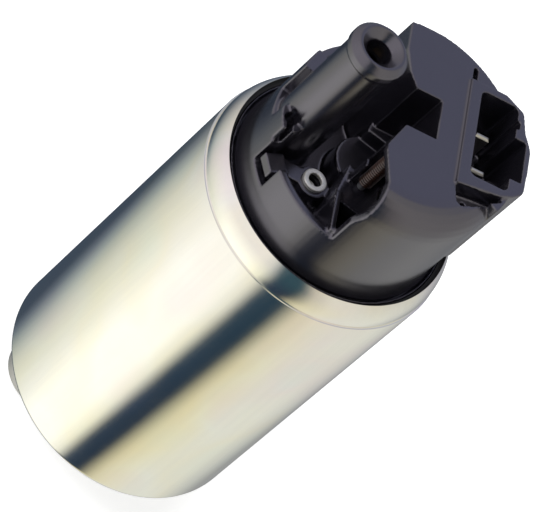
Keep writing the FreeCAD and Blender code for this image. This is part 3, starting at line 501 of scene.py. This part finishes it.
def coil_points(centre, radius, low, high, turns, per_turn, start=0.0):
    """Points of a helix, in metres."""
    count = round(turns * per_turn)
    points = []
    for i in range(count + 1):
        t = start + 2 * math.pi * turns * i / count
        points.append(Vector((centre[0] + radius * math.cos(t),
                              centre[1] + radius * math.sin(t),
                              low + (high - low) * i / count)))
    return points


def shell():
    """Drawn steel tube with both ends rolled in, on real round corners."""
    low_end = bend(SHELL_R - FOOT_CORNER, SHELL_LOW + FOOT_CORNER, FOOT_CORNER, -90, 0,
                   FOOT_STEPS)
    roll = bend(BAND_R - ROLL, SHELL_HIGH - ROLL * math.sin(math.radians(ROLL_TURN)), ROLL,
                0, ROLL_TURN, ROLL_STEPS)
    step = [(SHELL_R, BAND_LOW - STEP_START), (SHELL_R - STEP_SOFT, BAND_LOW - STEP_SOFT),
            (BAND_R + STEP_FOOT, BAND_LOW), (BAND_R, BAND_LOW + STEP_END)]
    inner = [(LIP_R, LIP_UNDER), (SHELL_BORE_R, LIP_UNDER),
             (SHELL_BORE_R, FOOT_OVER), (FOOT_R, FOOT_OVER)]
    rim = bend(FOOT_R + FOOT_EDGE, SHELL_LOW + FOOT_EDGE, FOOT_EDGE, 180, 270, EDGE_STEPS)
    points = rim + low_end + step + roll + inner
    return keep("shell_drawn", lathe(points, SHELL_SIDES), "zinc_steel", "pump", "shell")


def modified(mesh, *steps):
    """The mesh that modifiers make of this one, each step a kind and its values."""
    carrier = bpy.data.objects.new("carrier", mesh)
    bpy.context.scene.collection.objects.link(carrier)
    for kind, values in steps:
        step = carrier.modifiers.new(kind, kind)
        for key, value in values.items():
            setattr(step, key, value)
    view = bpy.context.evaluated_depsgraph_get()
    result = bpy.data.meshes.new_from_object(carrier.evaluated_get(view))
    bpy.data.objects.remove(carrier)
    return result


def funnel(mesh):
    """Sinks the nipple's end face towards its bore, as the mould leaves it."""
    for vertex in mesh.vertices:
        x, y, z = vertex.co / MM
        r = math.hypot(x - NIPPLE[0], y - NIPPLE[1])
        depth = NIPPLE_TOP - z
        if r < FUNNEL_R and depth < FUNNEL_REACH:
            share = min((FUNNEL_R - r) / (FUNNEL_R - NIPPLE_BORE_R), 1.0)
            drop = FUNNEL_DEEP * share
            left = (FUNNEL_REACH - drop) / FUNNEL_REACH
            vertex.co.z = (NIPPLE_TOP - drop - max(depth, 0.0) * left) * MM


def foot(mesh):
    """Gives the boss a coved foot, and rounds up the thin bead beside it."""
    for vertex in mesh.vertices:
        x, y, z = vertex.co / MM
        r = math.hypot(x, y)
        if abs(r - BOSS_R) < COVE_SKIN and COVE_FOOT < z < COVE_TOP:
            if z > COVE_LOW:
                out = COVE_OUT * ((COVE_TOP - z) / (COVE_TOP - COVE_LOW)) ** 2
            else:
                out = COVE_OUT * (z - COVE_FOOT) / (COVE_LOW - COVE_FOOT)
            vertex.co.x *= (r + out) / r
            vertex.co.y *= (r + out) / r
        elif abs(r - BEAD_R) < BEAD_HALF and BEAD_LOW < z < COVE_LOW:
            crown = 1.0 - BEAD_CROWN * ((r - BEAD_R) / BEAD_HALF) ** 2
            vertex.co.z = (BEAD_LOW + (z - BEAD_LOW) * BEAD_GROWTH * crown) * MM


def soft_cover():
    """The moulding with its edges rounded as a mould leaves them."""
    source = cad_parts["outlet_cover"].data.copy()
    bm = bmesh.new()
    bm.from_mesh(source)
    bmesh.ops.remove_doubles(bm, verts=bm.verts, dist=WELD)
    bm.to_mesh(source)
    bm.free()
    grid = modified(source, ("REMESH", {"mode": "VOXEL", "voxel_size": COVER_VOXEL * MM}))
    funnel(grid)
    foot(grid)
    final = modified(grid, ("SMOOTH", {"factor": SMOOTH_FACTOR, "iterations": SMOOTH_PASSES}),
                     ("DECIMATE", {"ratio": KEPT_SHARE}))
    bm = bmesh.new()
    bm.from_mesh(final)
    return keep("cover_moulding", bm, "cover_resin", "pump", "outlet_cover")


def sleeve():
    """The pressed ring that closes the relief valve, thin below its flange."""
    low, high = (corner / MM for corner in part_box("relief_sleeve"))
    under = high.z - SLEEVE_FLANGE
    foot_z = under - SLEEVE_SHANK
    inner = SLEEVE_SHANK_R - SLEEVE_WALL
    points = [(inner, foot_z), (SLEEVE_SHANK_R, foot_z), (SLEEVE_SHANK_R, under),
              (SLEEVE_R - SLEEVE_EDGE, under), (SLEEVE_R, under + SLEEVE_EDGE)]
    points += bend(SLEEVE_R - SLEEVE_ROUND, high.z - SLEEVE_ROUND, SLEEVE_ROUND, 0, 90,
                   SLEEVE_STEPS)
    points += bend(SLEEVE_HOLE_R + SLEEVE_LIP, high.z - SLEEVE_LIP, SLEEVE_LIP, 90, 180,
                   SLEEVE_STEPS)
    points += [(SLEEVE_HOLE_R, high.z - SLEEVE_HOLE_DEEP), (inner, high.z - SLEEVE_THROAT)]
    centre = ((low.x + high.x) / 2, (low.y + high.y) / 2)
    ring = lathe(points, SLEEVE_SIDES, centre)
    return keep("relief_ring", ring, "nickel", "pump", "relief_sleeve")


def choke():
    """Wound wire on the choke's rod, straight at both ends as in the solid."""
    low = (CHOKE_FOOT + (CHOKE_LENGTH - CHOKE_TURNS * CHOKE_PITCH) / 2) * MM
    high = low + CHOKE_TURNS * CHOKE_PITCH * MM
    centre = (CHOKE[0] * MM, CHOKE[1] * MM)
    points = coil_points(centre, CHOKE_R * MM, low, high, CHOKE_TURNS, CHOKE_STEPS)
    tail = CHOKE_TAIL * CHOKE_WIRE * MM
    first = points[0] + (points[0] - points[1]).normalized() * tail
    last = points[-1] + (points[-1] - points[-2]).normalized() * tail
    bm = wire([first] + points + [last], CHOKE_WIRE * MM, CHOKE_SIDES)
    return keep("choke_winding", bm, "copper_wire", "pump", "choke_coil")


def spring(node, wire_r, turns):
    """A closed-end coil in the room that the solid keeps for it."""
    low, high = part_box(node)
    centre = ((low.x + high.x) / 2, (low.y + high.y) / 2)
    radius = (high.x - low.x) / 2 - wire_r
    bottom = low.z + wire_r
    top = high.z - wire_r
    rise = END_RISE * wire_r
    points = coil_points(centre, radius, bottom, bottom + rise, END_TURNS, SPRING_STEPS)
    turn = 2 * math.pi * END_TURNS
    points += coil_points(centre, radius, bottom + rise, top - rise, turns, SPRING_STEPS,
                          turn)[1:]
    turn += 2 * math.pi * turns
    points += coil_points(centre, radius, top - rise, top, END_TURNS, SPRING_STEPS, turn)[1:]
    piece = keep(node + "_coil", wire(points, wire_r, SPRING_SIDES), "spring_steel", "pump",
                 node)
    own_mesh(piece)
    return piece


# Surroundings

def surroundings():
    """A bright studio: white behind everything, with dark panels for metal to mirror."""
    world = bpy.data.worlds.new("studio")
    bpy.context.scene.world = world
    world.use_nodes = True
    tree = world.node_tree
    tree.nodes.clear()

    def new(kind, operation=None, *values):
        made_node = tree.nodes.new(kind)
        if operation:
            made_node.operation = operation
        for socket, value in zip(made_node.inputs, values):
            if isinstance(value, bpy.types.NodeSocket):
                tree.links.new(value, socket)
            else:
                socket.default_value = value
        return made_node

    def band(value, stops):
        made_node = new("ShaderNodeValToRGB", None, value)
        elements = made_node.color_ramp.elements
        while len(elements) < len(stops):
            elements.new(0.5)
        for element, (degrees, colour) in zip(elements, stops):
            element.position = degrees / 360.0 + 0.5
            element.color = (*colour, 1.0)
        return made_node.outputs["Color"]

    where = tree.nodes.new("ShaderNodeTexCoord").outputs["Generated"]
    ahead = math.radians(FRONT)
    along = new("ShaderNodeVectorMath", "DOT_PRODUCT", where,
                (math.cos(ahead), math.sin(ahead), 0.0)).outputs["Value"]
    beside = new("ShaderNodeVectorMath", "DOT_PRODUCT", where,
                 (-math.sin(ahead), math.cos(ahead), 0.0)).outputs["Value"]
    turn = new("ShaderNodeMath", "ARCTAN2", beside, along).outputs[0]
    share = new("ShaderNodeMath", "MULTIPLY_ADD", turn, 1.0 / (2.0 * math.pi), 0.5).outputs[0]
    below = band(share, BELOW)
    above = band(share, ABOVE)
    height = tree.nodes.new("ShaderNodeSeparateXYZ")
    tree.links.new(where, height.inputs[0])
    rise = new("ShaderNodeMapRange", None, height.outputs["Z"])
    rise.inputs["From Min"].default_value = BLEND_LOW
    rise.inputs["From Max"].default_value = BLEND_HIGH
    both = tree.nodes.new("ShaderNodeMix")
    both.data_type = "RGBA"
    tree.links.new(rise.outputs["Result"], both.inputs[0])
    tree.links.new(below, both.inputs[6])
    tree.links.new(above, both.inputs[7])
    path = tree.nodes.new("ShaderNodeLightPath")
    mirrored = new("ShaderNodeBackground", None, both.outputs[2], 1.0)
    soft = new("ShaderNodeBackground", None, (1.0, 1.0, 1.0, 1.0), AMBIENT)
    white = new("ShaderNodeBackground", None, (1.0, 1.0, 1.0, 1.0), 1.0)
    glossy = new("ShaderNodeMixShader", None, path.outputs["Is Glossy Ray"],
                 soft.outputs[0], mirrored.outputs[0])
    clear = new("ShaderNodeMixShader", None, path.outputs["Is Transmission Ray"],
                glossy.outputs[0], white.outputs[0])
    seen = new("ShaderNodeMixShader", None, path.outputs["Is Camera Ray"],
               clear.outputs[0], white.outputs[0])
    out = tree.nodes.new("ShaderNodeOutputWorld")
    tree.links.new(seen.outputs[0], out.inputs["Surface"])


def floor():
    """A pale floor that shows white and keeps a faint shadow."""
    bm = bmesh.new()
    bmesh.ops.create_grid(bm, x_segments=2, y_segments=2, size=FLOOR_SIZE)
    mesh = bpy.data.meshes.new("floor")
    bm.to_mesh(mesh)
    bm.free()
    piece = bpy.data.objects.new("floor", mesh)
    bpy.context.scene.collection.objects.link(piece)
    piece.location.z = cad_box[0].z - FLOOR_GAP
    piece.visible_glossy = False
    material = bpy.data.materials.new("pale_floor")
    material.use_nodes = True
    tree = material.node_tree
    shader = tree.nodes["Principled BSDF"]
    shader.inputs["Base Color"].default_value = (FLOOR_SHADE, FLOOR_SHADE, FLOOR_SHADE, 1.0)
    shader.inputs["Roughness"].default_value = FLOOR_ROUGH
    shader.inputs["Specular IOR Level"].default_value = 0.0
    glow = tree.nodes.new("ShaderNodeEmission")
    glow.inputs["Strength"].default_value = FLOOR_GLOW
    both = tree.nodes.new("ShaderNodeAddShader")
    tree.links.new(shader.outputs[0], both.inputs[0])
    tree.links.new(glow.outputs[0], both.inputs[1])
    path = tree.nodes.new("ShaderNodeLightPath")
    pick = tree.nodes.new("ShaderNodeMixShader")
    tree.links.new(path.outputs["Is Camera Ray"], pick.inputs[0])
    tree.links.new(shader.outputs[0], pick.inputs[1])
    tree.links.new(both.outputs[0], pick.inputs[2])
    tree.links.new(pick.outputs[0], tree.nodes["Material Output"].inputs["Surface"])
    mesh.materials.append(material)


def lamp(name, azimuth, elevation, distance, size, watts):
    """A square soft box that points at the pump's middle."""
    light = bpy.data.lights.new(name, "AREA")
    light.shape = "SQUARE"
    light.size = size
    light.energy = watts
    piece = bpy.data.objects.new(name, light)
    bpy.context.scene.collection.objects.link(piece)
    a = math.radians(azimuth)
    e = math.radians(elevation)
    back = Vector((math.cos(a) * math.cos(e), math.sin(a) * math.cos(e), math.sin(e)))
    piece.location = back * distance
    piece.rotation_euler = back.to_track_quat("Z", "Y").to_euler()
    piece.visible_glossy = False


def camera():
    """The photograph's view from above, rolled so that the pump leans."""
    e = math.radians(VIEW_ELEVATION)
    a = math.radians(VIEW_AZIMUTH)
    roll = math.radians(VIEW_ROLL)
    right = Vector((math.cos(a), math.sin(a), 0.0))
    back = Vector((math.sin(a) * math.cos(e), -math.cos(a) * math.cos(e), math.sin(e)))
    up = back.cross(right)
    turned_right = math.cos(roll) * right + math.sin(roll) * up
    turned_up = -math.sin(roll) * right + math.cos(roll) * up
    lens = bpy.data.cameras.new("photo_camera")
    lens.lens = VIEW_LENS
    lens.sensor_width = VIEW_SENSOR
    lens.clip_start = VIEW_NEAR
    piece = bpy.data.objects.new("photo_camera", lens)
    bpy.context.scene.collection.objects.link(piece)
    turn = Matrix((turned_right, turned_up, back)).transposed().to_4x4()
    piece.matrix_world = Matrix.Translation(VIEW_PLACE) @ turn
    bpy.context.scene.camera = piece


finishes = materials()
for name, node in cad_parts.items():
    slot_name = node.data.materials[0].name.split(".")[0]
    node.data.materials.clear()
    node.data.materials.append(finishes[slot_name])

shell()
soft_cover()
sleeve()
choke()
for name, wire_r, turns, joint in SPRINGS:
    spring(name, wire_r * MM, turns)

surroundings()
floor()
for values in LAMPS:
    lamp(*values)
camera()
bpy.context.scene.view_settings.view_transform = "Standard"

bpy.context.view_layer.update()
